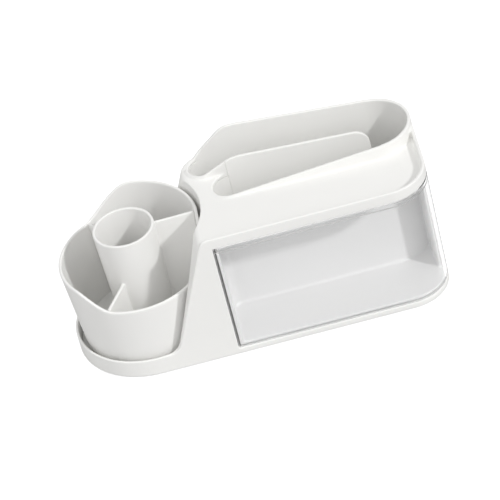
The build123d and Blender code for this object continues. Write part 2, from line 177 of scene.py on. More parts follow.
world = bpy.data.worlds.new("studio")
bpy.context.scene.world = world
world.use_nodes = True
sky = world.node_tree
strength = add_node(sky, "ShaderNodeMapRange",
                    {"Value": seen_by_eye(sky), "To Min": FILL_STRENGTH, "To Max": 1.0})
sky.nodes["Background"].inputs["Color"].default_value = WHITE
sky.links.new(strength.outputs["Result"], sky.nodes["Background"].inputs["Strength"])
print("world fills with strength", FILL_STRENGTH)

# %% Floor
FLOOR_HALF = 4.0
FLOOR_GREY = 0.6
FLOOR_LIFT = 0.75


def new_material(name):
    """A node material with its tree and its shader at hand."""
    material = bpy.data.materials.new(name)
    material.use_nodes = True
    return material, material.node_tree, material.node_tree.nodes["Principled BSDF"]


floor_mesh = bpy.data.meshes.new("floor")
floor_corners = [(x * FLOOR_HALF, y * FLOOR_HALF, 0) for x, y in ((-1, -1), (1, -1), (1, 1), (-1, 1))]
floor_mesh.from_pydata(floor_corners, [], [(0, 1, 2, 3)])
floor = bpy.data.objects.new("floor", floor_mesh)
bpy.context.scene.collection.objects.link(floor)
floor_finish, tree, shader = new_material("floor_paper")
shader.inputs["Base Color"].default_value = (FLOOR_GREY, FLOOR_GREY, FLOOR_GREY, 1)
shader.inputs["Roughness"].default_value = 0.9
shader.inputs["Specular IOR Level"].default_value = 0.0
shader.inputs["Emission Color"].default_value = WHITE
tree.links.new(calc(tree, "MULTIPLY", seen_by_eye(tree), FLOOR_LIFT), shader.inputs["Emission Strength"])
floor_mesh.materials.append(floor_finish)
print("floor", 2 * FLOOR_HALF, "m wide")

# %% [markdown]
# ## Skin that several finishes share
# Moulded plastic is never quite even: its tone and its gloss drift a little and its skin has a fine grain. A
# piece that is not rounded in its mesh also needs edges that look slightly round and catch the light. One
# node group makes all of this from named amounts, so that each finish below only gives its own.

# %% Node group: inputs, outputs and rounded edges
SKIN_TONE = (0.9, 0.9, 0.9, 1)
SKIN_AMOUNTS = {
    "Tone Drift": 0.01, "Gloss Low": 0.4, "Gloss High": 0.5, "Grain Scale": 2600.0, "Grain Depth": 0.05,
    "Edge Radius": 0.0005, "Edge Wear": 0.02,
}
SKIN_RESULTS = {"Color": "NodeSocketColor", "Roughness": "NodeSocketFloat", "Normal": "NodeSocketVector"}
EDGE_SAMPLES = 6
EDGE_STARTS, EDGE_FULL = 0.995, 0.75  # cosines between the plain and the rounded normal


def skin_sockets(group):
    """The skin's tone, its amounts and the three maps that it gives."""
    tone = group.interface.new_socket(name="Tone", in_out="INPUT", socket_type="NodeSocketColor")
    tone.default_value = SKIN_TONE
    for label, amount in SKIN_AMOUNTS.items():
        socket = group.interface.new_socket(name=label, in_out="INPUT", socket_type="NodeSocketFloat")
        socket.default_value = amount
    for label, kind in SKIN_RESULTS.items():
        group.interface.new_socket(name=label, in_out="OUTPUT", socket_type=kind)


def rounded_edges(group, radius):
    """A normal that is rounded at the edges, and a mask that grows to 1 on them."""
    rounded = add_node(group, "ShaderNodeBevel", {"Radius": radius}, samples=EDGE_SAMPLES).outputs["Normal"]
    plain = add_node(group, "ShaderNodeNewGeometry").outputs["Normal"]
    same = add_node(group, "ShaderNodeVectorMath", {0: rounded, 1: plain}, operation="DOT_PRODUCT")
    mask = add_node(group, "ShaderNodeMapRange",
                    {"Value": same.outputs["Value"], "From Min": EDGE_STARTS, "From Max": EDGE_FULL})
    return rounded, mask.outputs["Result"]


# %% Node group: moulded skin
CLOUD_SCALE = 28.0                    # how many soft clouds of tone there are to a metre
CLOUD_LOW, CLOUD_HIGH = 0.3, 0.7      # the part of the noise's range that the clouds use
GRAIN_HEIGHT = 0.00004


def moulded_skin_group():
    """Tone, roughness and normal of a moulded skin, from amounts given in each material."""
    group = bpy.data.node_groups.new("moulded_skin", "ShaderNodeTree")
    skin_sockets(group)
    given = group.nodes.new("NodeGroupInput").outputs
    place = add_node(group, "ShaderNodeTexCoord").outputs["Object"]
    cloud = add_node(group, "ShaderNodeTexNoise", {"Vector": place, "Scale": CLOUD_SCALE, "Detail": 4.0})
    grain = add_node(group, "ShaderNodeTexNoise",
                     {"Vector": place, "Scale": given["Grain Scale"], "Detail": 2.0})
    clouds = {"Value": cloud.outputs["Fac"], "From Min": CLOUD_LOW, "From Max": CLOUD_HIGH}
    normal, edge = rounded_edges(group, given["Edge Radius"])

    darkest = calc(group, "SUBTRACT", 1.0, given["Tone Drift"])
    drift = add_node(group, "ShaderNodeMapRange", {**clouds, "To Min": 1.0, "To Max": darkest})
    worn = calc(group, "MULTIPLY", edge, given["Edge Wear"])
    brightness = calc(group, "ADD", drift.outputs["Result"], worn)
    toned = add_node(group, "ShaderNodeVectorMath", {0: given["Tone"], "Scale": brightness},
                     operation="SCALE")
    gloss = add_node(group, "ShaderNodeMapRange",
                     {**clouds, "To Min": given["Gloss Low"], "To Max": given["Gloss High"]})
    bump = add_node(group, "ShaderNodeBump", {"Distance": GRAIN_HEIGHT, "Strength": given["Grain Depth"],
                                              "Height": grain.outputs["Fac"], "Normal": normal})
    add_node(group, "NodeGroupOutput", {"Color": toned.outputs["Vector"], "Normal": bump.outputs["Normal"],
                                        "Roughness": gloss.outputs["Result"]})
    return group


MOULDED_SKIN = moulded_skin_group()
print("group", MOULDED_SKIN.name, "with", len(MOULDED_SKIN.nodes), "nodes")

# %% [markdown]
# ## White plastic, glides and rubber
# The shell and the cup are moulded in a warm white with a satin skin. The drawer is a plainer white, and
# smoother, so that things slide in it; its tone is set greyer than the shell's to paint in some of the shade
# inside the drawer's bay. Its runners are a plain slippery plastic, and the feet are a dull rubber. The shell,
# the cup and the drawer get round edges in their meshes further down, so only the runners and the feet ask
# the skin for rounded edges.

# %% Moulded finishes
def moulded(name, tone, drift, gloss, grain, edge=(0.0, 0.0), specular=0.5):
    """A finish of the shared skin; gloss is a range, grain a scale and a depth, edge a radius and a wear."""
    material, tree, shader = new_material(name)
    skin = add_node(tree, "ShaderNodeGroup", node_tree=MOULDED_SKIN)
    amounts = {"Tone": (*tone, 1), "Tone Drift": drift, "Gloss Low": gloss[0], "Gloss High": gloss[1],
               "Grain Scale": grain[0], "Grain Depth": grain[1], "Edge Radius": edge[0], "Edge Wear": edge[1]}
    for label, amount in amounts.items():
        skin.inputs[label].default_value = amount
    tree.links.new(skin.outputs["Color"], shader.inputs["Base Color"])
    tree.links.new(skin.outputs["Roughness"], shader.inputs["Roughness"])
    tree.links.new(skin.outputs["Normal"], shader.inputs["Normal"])
    shader.inputs["Specular IOR Level"].default_value = specular
    print("finish", name)
    return material


SHELL_WHITE = (0.925, 0.922, 0.902)
CUP_WHITE = (0.922, 0.918, 0.900)
# the drawer's plainer white, set greyer than the shell's as painted shade for the inside of its bay
DRAWER_WHITE_WITH_SHADE = (0.83, 0.83, 0.83)
GLIDE_WHITE = (0.80, 0.80, 0.78)
RUBBER_GREY = (0.60, 0.60, 0.58)
shell_finish = moulded("shell_white_satin", SHELL_WHITE, drift=0.012, gloss=(0.42, 0.52), grain=(2600, 0.12))
cup_finish = moulded("cup_white_satin", CUP_WHITE, drift=0.012, gloss=(0.40, 0.50), grain=(2600, 0.12))
drawer_finish = moulded("drawer_white_smooth_painted_shade", DRAWER_WHITE_WITH_SHADE, drift=0.010, gloss=(0.30, 0.38),
                        grain=(3000, 0.06))
glide_finish = moulded("glide_plastic_plain", GLIDE_WHITE, drift=0.03, gloss=(0.30, 0.40), grain=(1800, 0.2),
                       edge=(0.0003, 0.05))
rubber_finish = moulded("foot_rubber_matt", RUBBER_GREY, drift=0.06, gloss=(0.75, 0.9), grain=(1500, 0.5),
                        edge=(0.0004, 0.08), specular=0.3)

# %% [markdown]
# ## Clear plastic
# The drawer's front is clear, so the white tray shows through it. Clear plastic bends light a little less
# than glass. Light has to pass it to reach the drawer, so to a ray that gathers light it is only a thin
# film. The panel's bottom rim gets a milkier, paler finish, a painted highlight for the light that runs
# down inside the panel and leaves it there.

# %% Clear finishes
PLASTIC_BEND = 1.49                   # index of refraction
HAZE_SCALE = 60.0
CLEAREST, HAZIEST = 0.005, 0.035      # roughness
# for a program that reads the material without its haze
EVEN_ROUGHNESS = 0.02                 # the plain roughness, which the haze's link replaces


def clear_finish(name, tint, film, clearness=1.0):
    """Clear moulded plastic: refracting to the eye, a film that takes little light from gathering rays."""
    material, tree, shader = new_material(name)
    shader.inputs["Base Color"].default_value = (tint, tint, tint, 1)
    shader.inputs["Roughness"].default_value = EVEN_ROUGHNESS
    shader.inputs["IOR"].default_value = PLASTIC_BEND
    shader.inputs["Transmission Weight"].default_value = clearness
    place = add_node(tree, "ShaderNodeTexCoord").outputs["Object"]
    haze = add_node(tree, "ShaderNodeTexNoise", {"Vector": place, "Scale": HAZE_SCALE, "Detail": 5.0})
    rough = add_node(tree, "ShaderNodeMapRange",
                     {"Value": haze.outputs["Fac"], "To Min": CLEAREST, "To Max": HAZIEST})
    tree.links.new(rough.outputs["Result"], shader.inputs["Roughness"])
    path = add_node(tree, "ShaderNodeLightPath")
    gathers = calc(tree, "MAXIMUM", path.outputs["Is Shadow Ray"], path.outputs["Is Diffuse Ray"])
    thin_film = add_node(tree, "ShaderNodeBsdfTransparent", {"Color": (film, film, film, 1)})
    mix = add_node(tree, "ShaderNodeMixShader", {"Fac": gathers, 1: shader.outputs["BSDF"],
                                                 2: thin_film.outputs["BSDF"]})
    tree.links.new(mix.outputs["Shader"], tree.nodes["Material Output"].inputs["Surface"])
    print("finish", name)
    return material


panel_finish = clear_finish("clear_panel_polished", tint=0.99, film=0.985)
# the rim's milkier, paler finish is a painted highlight for light leaving the panel's bottom edge
rim_highlight_finish = clear_finish("clear_panel_rim_painted_highlight", tint=0.93, film=0.96, clearness=0.35)

# %% [markdown]
# ## Steel of the screws and balls
# The small metal pieces are hidden under the cup and in the base. The screws are plated and show fine
# working marks, and the bearing's balls are polished.

# %% Metal finishes
MARK_SCALE = 900.0
MARK_HEIGHT = 0.00003
MARK_SHADE = 0.85                     # how dark the marks are, as a share of the tone
ROUGH_LOW, ROUGH_HIGH = 0.7, 1.3      # shares of the roughness between which the marks vary it
COLOUR_A, COLOUR_B, COLOUR_RESULT = 6, 7, 2     # places of a Mix node's colour sockets


def metal(name, tone, roughness, marks):
    """Plated or polished steel with fine marks."""
    material, tree, shader = new_material(name)
    shader.inputs["Metallic"].default_value = 1.0
    place = add_node(tree, "ShaderNodeTexCoord").outputs["Object"]
    scratch = add_node(tree, "ShaderNodeTexNoise", {"Vector": place, "Scale": MARK_SCALE}).outputs["Fac"]
    dark_tone = (*[share * MARK_SHADE for share in tone], 1)
    shade = add_node(tree, "ShaderNodeMix", {"Factor": scratch, COLOUR_A: dark_tone, COLOUR_B: (*tone, 1)},
                     data_type="RGBA")
    rough = add_node(tree, "ShaderNodeMapRange", {"Value": scratch, "To Min": roughness * ROUGH_LOW,
                                                  "To Max": roughness * ROUGH_HIGH})
    bump = add_node(tree, "ShaderNodeBump", {"Strength": marks, "Distance": MARK_HEIGHT, "Height": scratch})
    tree.links.new(shade.outputs[COLOUR_RESULT], shader.inputs["Base Color"])
    tree.links.new(rough.outputs["Result"], shader.inputs["Roughness"])
    tree.links.new(bump.outputs["Normal"], shader.inputs["Normal"])
    print("finish", name)
    return material


screw_finish = metal("screw_steel_plated", (0.62, 0.62, 0.64), roughness=0.32, marks=0.3)
ball_finish = metal("ball_steel_polished", (0.72, 0.72, 0.74), roughness=0.12, marks=0.05)

# %% [markdown]
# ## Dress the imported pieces
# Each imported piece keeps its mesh, and gets the finish of its material slot.

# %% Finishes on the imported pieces
FINISH_OF_SLOT = {
    "white_plastic": shell_finish,
    "cup_white": cup_finish,
    "drawer_white": drawer_finish,
    "clear_plastic": panel_finish,
    "glide_plastic": glide_finish,
    "screw_steel": screw_finish,
    "ball_steel": ball_finish,
    "foot_rubber": rubber_finish,
}
slot_of_node = {part["node"]: part["material_slot"] for part in frame["record"]["subparts"]}
for name, piece in nodes.items():
    piece.data.materials.clear()
    piece.data.materials.append(FINISH_OF_SLOT[slot_of_node[name]])
print("dressed", len(nodes), "packed pieces")

# %% [markdown]
# ## Softened copies of the moulded pieces
# A moulded piece has no sharp corner: the pocket's rims are round, and the divider's loop melts into the
# tray. A Bevel modifier would have to round each edge by itself, and it fails where many walls meet. So a
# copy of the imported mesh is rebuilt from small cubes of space, smoothed until its corners are round, and
# thinned again where it is flat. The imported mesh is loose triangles, so the copy's corners are joined first.

# %% Helpers for pieces that stand for packed ones
WELD = 1e-6                           # corners closer than this are one corner
listed_bodies = frame["record"]["behaviour"]["bodies"]
body_of_node = {node: body for body, listed in listed_bodies.items() for node in listed}


def stand_for(piece, finish, *node_names):
    """Dress a finished piece, let it ride on its nodes' body, and hide the nodes that it stands for."""
    piece.data.materials.clear()
    piece.data.materials.append(finish)
    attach(piece, body_of_node[node_names[0]])
    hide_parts(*node_names)
    print(piece.name, "has", len(piece.data.polygons), "faces and rides on", body_of_node[node_names[0]])


def new_piece(name, mesh):
    """An object at the origin with that mesh."""
    piece = bpy.data.objects.new(name, mesh)
    bpy.context.scene.collection.objects.link(piece)
    return piece


def merged_copy(node_name, piece_name):
    """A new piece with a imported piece's mesh, its triangles joined at their corners."""
    shape = bmesh.new()
    shape.from_mesh(nodes[node_name].data)
    bmesh.ops.remove_doubles(shape, verts=shape.verts, dist=WELD)
    mesh = bpy.data.meshes.new(piece_name)
    shape.to_mesh(mesh)
    shape.free()
    return new_piece(piece_name, mesh)


def keep_result(piece):
    """Turn what a piece's modifiers make into its plain mesh."""
    made = bpy.data.meshes.new_from_object(piece.evaluated_get(bpy.context.evaluated_depsgraph_get()))
    piece.modifiers.clear()
    piece.data = made


def even_shading(piece):
    """Let large faces set the shading, so that a flat wall looks flat up to its round edge."""
    evened = piece.modifiers.new("evened", "WEIGHTED_NORMAL")
    evened.mode = "FACE_AREA"


# %% Helper: soften
SMOOTH_SHARE = 0.5                    # how far a corner moves towards its neighbours in one pass


def soften(node_name, piece_name, finish, cube, passes, triangles):
    """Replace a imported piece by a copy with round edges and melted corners."""
    piece = merged_copy(node_name, piece_name)
    rebuilt = piece.modifiers.new("rebuilt", "REMESH")
    rebuilt.mode = "VOXEL"
    rebuilt.voxel_size = cube
    rebuilt.use_smooth_shade = True
    rounded = piece.modifiers.new("rounded", "SMOOTH")
    rounded.factor = SMOOTH_SHARE
    rounded.iterations = passes
    keep_result(piece)
    thinned = piece.modifiers.new("thinned", "DECIMATE")
    thinned.ratio = min(1.0, triangles / (2 * len(piece.data.polygons)))
    even_shading(piece)
    keep_result(piece)
    stand_for(piece, finish, node_name)


# %% [markdown]
# ## Shell, divider, cup and drawer
# The shell, the divider, the cup's tube with its vanes and the drawer's tray each get a softened copy. A
# smaller cube follows a thin wall better, and fewer passes keep an edge crisper. The liner and the base
# plate are inside or below the shell and stay as packed.

# %% Softened mouldings
soften("housing", "shell_moulding", shell_finish, cube=0.0005, passes=8, triangles=180000)
soften("pocket_divider", "divider_plate", shell_finish, cube=0.0004, passes=6, triangles=40000)
soften("cup_core", "cup_tube_and_vanes", cup_finish, cube=0.0004, passes=6, triangles=100000)
soften("drawer_tray", "drawer_moulding", drawer_finish, cube=0.0004, passes=5, triangles=60000)

# %% [markdown]
# ## Geometry Nodes helpers
# Some pieces follow a rule or repeat: the cup's waved wall, the bearing's balls, the screws and the feet.
# Geometry Nodes build them from named sizes, so that one number changes them everywhere. The helpers below
# start a tree with its named inputs, end it, and run it on a piece to get its plain mesh.

# %% Helpers: start and end a tree
SIDE_LIMIT = 0.95                     # a face whose normal rises less than this is a side, and shades smooth


def start_tree(name, sockets):
    """A Geometry Nodes tree with named inputs; gives the tree, its inputs and the output to link to."""
    tree = bpy.data.node_groups.new(name, "GeometryNodeTree")
    tree.is_modifier = True
    tree.interface.new_socket(name="Geometry", in_out="INPUT", socket_type="NodeSocketGeometry")
    for label, kind in sockets.items():
        tree.interface.new_socket(name=label, in_out="INPUT", socket_type="NodeSocket" + kind)
    tree.interface.new_socket(name="Finish", in_out="INPUT", socket_type="NodeSocketMaterial")
    tree.interface.new_socket(name="Geometry", in_out="OUTPUT", socket_type="NodeSocketGeometry")
    return tree, tree.nodes.new("NodeGroupInput").outputs, tree.nodes.new("NodeGroupOutput").inputs[0]


def vector(tree, **axes):
    """A vector from its X, Y and Z, where one that isn't given is 0."""
    return add_node(tree, "ShaderNodeCombineXYZ", axes).outputs[0]


def moved(tree, geometry, place):
    """A geometry moved to a place."""
    return add_node(tree, "GeometryNodeTransform", {0: geometry, "Translation": place}).outputs[0]


def joined(tree, parts):
    """Several geometries as one."""
    join = tree.nodes.new("GeometryNodeJoinGeometry")
    for part in parts:
        tree.links.new(part, join.inputs[0])
    return join.outputs[0]


def end_tree(tree, geometry, given, result):
    """Round the shading of side faces, turn instances into real mesh, and set the finish."""
    normal = add_node(tree, "GeometryNodeInputNormal").outputs[0]
    upright = add_node(tree, "ShaderNodeSeparateXYZ", {0: normal}).outputs["Z"]
    side = calc(tree, "LESS_THAN", calc(tree, "ABSOLUTE", upright), SIDE_LIMIT)
    real = add_node(tree, "GeometryNodeRealizeInstances", {0: geometry})
    flat = add_node(tree, "GeometryNodeSetShadeSmooth", {0: real.outputs[0], "Shade Smooth": False})
    smooth = add_node(tree, "GeometryNodeSetShadeSmooth", {0: flat.outputs[0], "Selection": side})
    painted = add_node(tree, "GeometryNodeSetMaterial", {0: smooth.outputs[0], "Material": given["Finish"]})
    tree.links.new(painted.outputs[0], result)


# %% Helpers: run a tree on a piece
def run_tree(piece, tree, values):
    """Run a tree on a piece with its named values, and keep the result as the piece's plain mesh."""
    modifier = piece.modifiers.new(tree.name, "NODES")
    modifier.node_group = tree
    for item in tree.interface.items_tree:
        if item.in_out == "INPUT" and item.name in values:
            modifier[item.identifier] = values[item.name]
    keep_result(piece)


def points_piece(name, places):
    """A piece that is only points, for a tree to place copies on."""
    mesh = bpy.data.meshes.new(name)
    mesh.from_pydata([tuple(place) for place in places], [], [])
    return new_piece(name, mesh)


def middle_of(low, high):
    """The middle of a box, from its low and high corners."""
    return ((low.x + high.x) / 2, (low.y + high.y) / 2, (low.z + high.z) / 2)


# %% [markdown]
# ## Cup wall
# The cup is a flared tube with a rim that waves between three heights. That is a rule: the rim's height is
# a sum of three smooth steps round the cup, and the wall's section is a closed loop, out, over the round
# rim, in and under. A flat grid has two directions, so one runs round the cup and the other round the
# section, and each grid point is moved to its place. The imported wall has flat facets; this one has none.

# %% The rim's rule
RIM_START = 4.0                       # degrees from +X where the rim's rule begins and ends
RIM_STEPS = (((78.0, 125.0), "High Rim", "Middle Rim"),
             ((212.0, 246.0), "Middle Rim", "Low Rim"),
             ((340.0, 364.0), "Low Rim", "High Rim"))


def rim_height(tree, given, turn):
    """The rim's height at a turn round the cup: the high rim and the three smooth steps up to that turn."""
    rim = given["High Rim"]
    for (start, end), before, after in RIM_STEPS:
        change = calc(tree, "SUBTRACT", given[after], given[before])
        step = add_node(tree, "ShaderNodeMapRange", {"Value": turn, "From Min": start, "From Max": end,
                                                     "To Min": 0.0, "To Max": change},
                        interpolation_type="SMOOTHSTEP")
        rim = calc(tree, "ADD", rim, step.outputs["Result"])
    return rim


# %% The wall's section, carried round the cup
WALL_SIDE, WALL_ARC = 0.35, 0.15      # shares of the grid for each side of the section and for each round
SEAM_WELD = 0.00001                   # grid points closer than this, at the seams, are one point


def clamped(tree, value, start, length):
    """How far a value has run from start, as a share of length, held between 0 and 1."""
    share = calc(tree, "DIVIDE", calc(tree, "SUBTRACT", value, start), length)
    return calc(tree, "MINIMUM", calc(tree, "MAXIMUM", share, 0.0), 1.0)


def flared_wall(tree, given):
    """The flared wall with its waved, rounded rim, from a grid whose sides are the turn and the section."""
    grid = add_node(tree, "GeometryNodeMeshGrid", {"Size X": 1.0, "Vertices X": given["Around"],
                                                   "Size Y": 1.0, "Vertices Y": given["Section"]})
    position = add_node(tree, "GeometryNodeInputPosition").outputs[0]
    spot = add_node(tree, "ShaderNodeSeparateXYZ", {0: position})
    around = calc(tree, "ADD", spot.outputs["X"], 0.5)
    section = calc(tree, "ADD", spot.outputs["Y"], 0.5)
    turn = calc(tree, "ADD", calc(tree, "MULTIPLY", around, 360.0), RIM_START)
    up = clamped(tree, section, 0.0, WALL_SIDE)
    over = clamped(tree, section, WALL_SIDE, WALL_ARC)
    down = clamped(tree, section, WALL_SIDE + WALL_ARC, WALL_SIDE)
    under = clamped(tree, section, 2 * WALL_SIDE + WALL_ARC, WALL_ARC)

    half_wall = calc(tree, "MULTIPLY", given["Wall"], 0.5)
    whole_height = calc(tree, "SUBTRACT", rim_height(tree, given, turn), given["Foot Height"])
    straight = calc(tree, "SUBTRACT", whole_height, given["Wall"])
    risen = calc(tree, "ADD", calc(tree, "MULTIPLY", straight, calc(tree, "SUBTRACT", up, down)), half_wall)
    bend = calc(tree, "MULTIPLY", calc(tree, "ADD", over, under), math.pi)
    height = calc(tree, "ADD", calc(tree, "ADD", risen, given["Foot Height"]),
                  calc(tree, "MULTIPLY", half_wall, calc(tree, "SINE", bend)))
    outer = calc(tree, "ADD", given["Foot Radius"], calc(tree, "MULTIPLY", given["Flare"], risen))
    radius = calc(tree, "ADD", calc(tree, "SUBTRACT", outer, half_wall),
                  calc(tree, "MULTIPLY", half_wall, calc(tree, "COSINE", bend)))
    angle = calc(tree, "RADIANS", turn)
    place = vector(tree, X=calc(tree, "MULTIPLY", radius, calc(tree, "COSINE", angle)),
                   Y=calc(tree, "MULTIPLY", radius, calc(tree, "SINE", angle)), Z=height)
    bent = add_node(tree, "GeometryNodeSetPosition", {0: grid.outputs["Mesh"], "Position": place})
    sewn = add_node(tree, "GeometryNodeMergeByDistance", {0: bent.outputs[0], "Distance": SEAM_WELD})
    return sewn.outputs[0]


# %% Cup tree
FLOOR_SIDES, CAP_SIDES = 128, 96
CAP_TAPER = 0.85                      # the cap's top radius as a share of its foot
CUP_INPUTS = {
    "Centre": "Vector", "Foot Height": "Float", "Foot Radius": "Float", "Flare": "Float", "Wall": "Float",
    "High Rim": "Float", "Middle Rim": "Float", "Low Rim": "Float",
    "Floor Height": "Float", "Floor Thickness": "Float", "Cap Radius": "Float", "Cap Height": "Float",
    "Around": "Int", "Section": "Int",
}


def cup_floor(tree, given):
    """The cup's floor, which reaches into the middle of the wall."""
    radius = calc(tree, "SUBTRACT", given["Foot Radius"], calc(tree, "MULTIPLY", given["Wall"], 0.5))
    disc = add_node(tree, "GeometryNodeMeshCylinder", {"Vertices": FLOOR_SIDES, "Radius": radius,
                                                       "Depth": given["Floor Thickness"]})
    half_floor = calc(tree, "MULTIPLY", given["Floor Thickness"], 0.5)
    middle = calc(tree, "SUBTRACT", given["Floor Height"], half_floor)
    return moved(tree, disc.outputs["Mesh"], vector(tree, Z=middle))


def pivot_cap(tree, given):
    """The low cap in the floor, over the pivot."""
    top = calc(tree, "MULTIPLY", given["Cap Radius"], CAP_TAPER)
    cap = add_node(tree, "GeometryNodeMeshCone", {"Vertices": CAP_SIDES, "Radius Bottom": given["Cap Radius"],
                                                  "Radius Top": top, "Depth": given["Cap Height"]})
    return moved(tree, cap.outputs["Mesh"], vector(tree, Z=given["Floor Height"]))


def cup_wall_tree():
    """The flared wall with its waved, rounded rim, and the cup's floor with a cap over the pivot."""
    tree, given, result = start_tree("cup_wall", CUP_INPUTS)
    cup = joined(tree, [pivot_cap(tree, given), cup_floor(tree, given), flared_wall(tree, given)])
    end_tree(tree, moved(tree, cup, given["Centre"]), given, result)
    return tree


# %% Cup wall with its real sizes
CUP_SIZES = {
    "Foot Height": 0.0043, "Foot Radius": 0.0410, "Flare": 0.07122, "Wall": 0.0020,
    "High Rim": 0.0820, "Middle Rim": 0.0635, "Low Rim": 0.0520, "Floor Height": 0.0097,
    "Floor Thickness": 0.0020, "Cap Radius": 0.0120, "Cap Height": 0.0043, "Around": 289, "Section": 81,
}
cup_low, cup_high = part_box("cup_shell")
cup_turn = next(joint for joint in frame["joints"] if joint["name"] == "cup_turn")
cup_centre = (cup_turn["pos_m"][0], cup_turn["pos_m"][1], 0.0)
cup_wall = points_piece("cup_wall", [])
run_tree(cup_wall, cup_wall_tree(), {**CUP_SIZES, "Centre": cup_centre, "Finish": cup_finish})
stand_for(cup_wall, cup_finish, "cup_shell")
print("packed cup from", [round(c, 4) for c in cup_low], "to", [round(c, 4) for c in cup_high])

# %% [markdown]
# ## Balls of the bearing
# Twelve polished balls lie in a cage under the cup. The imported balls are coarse, so a ring of finer ones
# stands for them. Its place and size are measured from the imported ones. A circle has a point for each ball.

# %% Ball ring
BALLS = 12
BALL_SEGMENTS, BALL_RINGS = 32, 16


def ball_ring_tree():
    """Balls on a circle."""
    tree, given, result = start_tree("ball_ring", {"Centre": "Vector", "Circle Radius": "Float",
                                                   "Ball Radius": "Float", "Balls": "Int"})
    circle = add_node(tree, "GeometryNodeMeshCircle", {"Vertices": given["Balls"],
                                                       "Radius": given["Circle Radius"]})
    ball = add_node(tree, "GeometryNodeMeshUVSphere", {"Segments": BALL_SEGMENTS, "Rings": BALL_RINGS,
                                                       "Radius": given["Ball Radius"]})
    balls = add_node(tree, "GeometryNodeInstanceOnPoints", {"Points": circle.outputs["Mesh"],
                                                            "Instance": ball.outputs["Mesh"]})
    end_tree(tree, moved(tree, balls.outputs[0], given["Centre"]), given, result)
    return tree


low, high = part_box("bearing_balls")
ball_radius = (high.z - low.z) / 2
circle_radius = (high.x - low.x) / 2 - ball_radius
ball_ring = points_piece("ball_ring", [])
run_tree(ball_ring, ball_ring_tree(), {"Centre": middle_of(low, high), "Circle Radius": circle_radius,
                                       "Ball Radius": ball_radius, "Balls": BALLS, "Finish": ball_finish})
for face in ball_ring.data.polygons:
    face.use_smooth = True
stand_for(ball_ring, ball_finish, "bearing_balls")

# %% [markdown]
# ## Screws
# Three screws hold the base plate and one holds the cup's turntable. A screwdriver needs a cross in the
# head, and cutting that cross is a boolean: two thin blocks are taken out of the head before it is repeated.

# %% Screw tree
HEAD_SIDES, SHANK_SIDES = 48, 32
HEAD_TAPER, TIP_TAPER = 0.86, 0.6     # shares of the radius that are left at the head's top and the tip
CROSS_LONG, CROSS_THIN = 1.1, 0.2     # sides of the cross as shares of the head's radius


def crossed_head(tree, given):
    """The head, with a cross taken out of its upper half."""
    radius, height = given["Head Radius"], given["Head Height"]
    head = add_node(tree, "GeometryNodeMeshCone",
                    {"Vertices": HEAD_SIDES, "Radius Bottom": radius,
                     "Radius Top": calc(tree, "MULTIPLY", radius, HEAD_TAPER), "Depth": height})
    cut = add_node(tree, "GeometryNodeMeshBoolean", {"Mesh 1": head.outputs["Mesh"]}, operation="DIFFERENCE")
    long_side, thin_side = (calc(tree, "MULTIPLY", radius, share) for share in (CROSS_LONG, CROSS_THIN))
    for x, y in ((long_side, thin_side), (thin_side, long_side)):
        block = add_node(tree, "GeometryNodeMeshCube", {"Size": vector(tree, X=x, Y=y, Z=height)})
        cutter = moved(tree, block.outputs["Mesh"], vector(tree, Z=height))
        tree.links.new(cutter, cut.inputs["Mesh 2"])
    return cut.outputs["Mesh"]


def screw_tree():
    """A screw with a crossed head on each point, its seat at the point and its head up or turned over."""
    labels = ("Head Radius", "Head Height", "Shank Radius", "Shank Length", "Turn Over")
    tree, given, result = start_tree("cross_screws", {label: "Float" for label in labels})
    tip = calc(tree, "MULTIPLY", given["Shank Radius"], TIP_TAPER)
    shank = add_node(tree, "GeometryNodeMeshCone", {"Vertices": SHANK_SIDES, "Radius Bottom": tip,
                                                    "Radius Top": given["Shank Radius"],
                                                    "Depth": given["Shank Length"]})
    below = vector(tree, Z=calc(tree, "MULTIPLY", given["Shank Length"], -1.0))
    screw = joined(tree, [crossed_head(tree, given), moved(tree, shank.outputs["Mesh"], below)])
    screws = add_node(tree, "GeometryNodeInstanceOnPoints", {"Points": given["Geometry"], "Instance": screw,
                                                             "Rotation": vector(tree, X=given["Turn Over"])})
    end_tree(tree, screws.outputs[0], given, result)
    return tree


# %% Screws of the base plate and of the pivot
SCREWS_APART = 0.02                   # corners nearer than this, in plan, belong to one screw
BASE_SCREW = {"Head Radius": 0.0028, "Head Height": 0.00105, "Shank Radius": 0.00145, "Turn Over": math.pi}
PIVOT_SCREW = {"Head Radius": 0.0034, "Head Height": 0.0018, "Shank Radius": 0.0015, "Turn Over": 0.0}


def middles_of(node_name, apart):
    """Middles, in plan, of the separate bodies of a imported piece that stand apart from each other."""
    groups = []
    for vertex in nodes[node_name].data.vertices:
        near = [group for group in groups if (group[0] - vertex.co.xy).length < apart]
        if near:
            near[0].append(vertex.co.xy.copy())
        else:
            groups.append([vertex.co.xy.copy()])
    middles = []
    for group in groups:
        xs, ys = [point.x for point in group], [point.y for point in group]
        middles.append(((min(xs) + max(xs)) / 2, (min(ys) + max(ys)) / 2))
    return middles


SCREWS = screw_tree()
low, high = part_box("base_screws")
base_seat = low.z + BASE_SCREW["Head Height"]
base_places = [(x, y, base_seat) for x, y in middles_of("base_screws", SCREWS_APART)]
base_screws = points_piece("base_screws_crossed", base_places)
run_tree(base_screws, SCREWS, {**BASE_SCREW, "Shank Length": high.z - base_seat, "Finish": screw_finish})
stand_for(base_screws, screw_finish, "base_screws")

low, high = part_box("pivot_screw")
pivot_seat = high.z - PIVOT_SCREW["Head Height"]
pivot_place = (*middle_of(low, high)[:2], pivot_seat)
pivot_screw = points_piece("pivot_screw_crossed", [pivot_place])
run_tree(pivot_screw, SCREWS, {**PIVOT_SCREW, "Shank Length": pivot_seat - low.z, "Finish": screw_finish})
stand_for(pivot_screw, screw_finish, "pivot_screw")

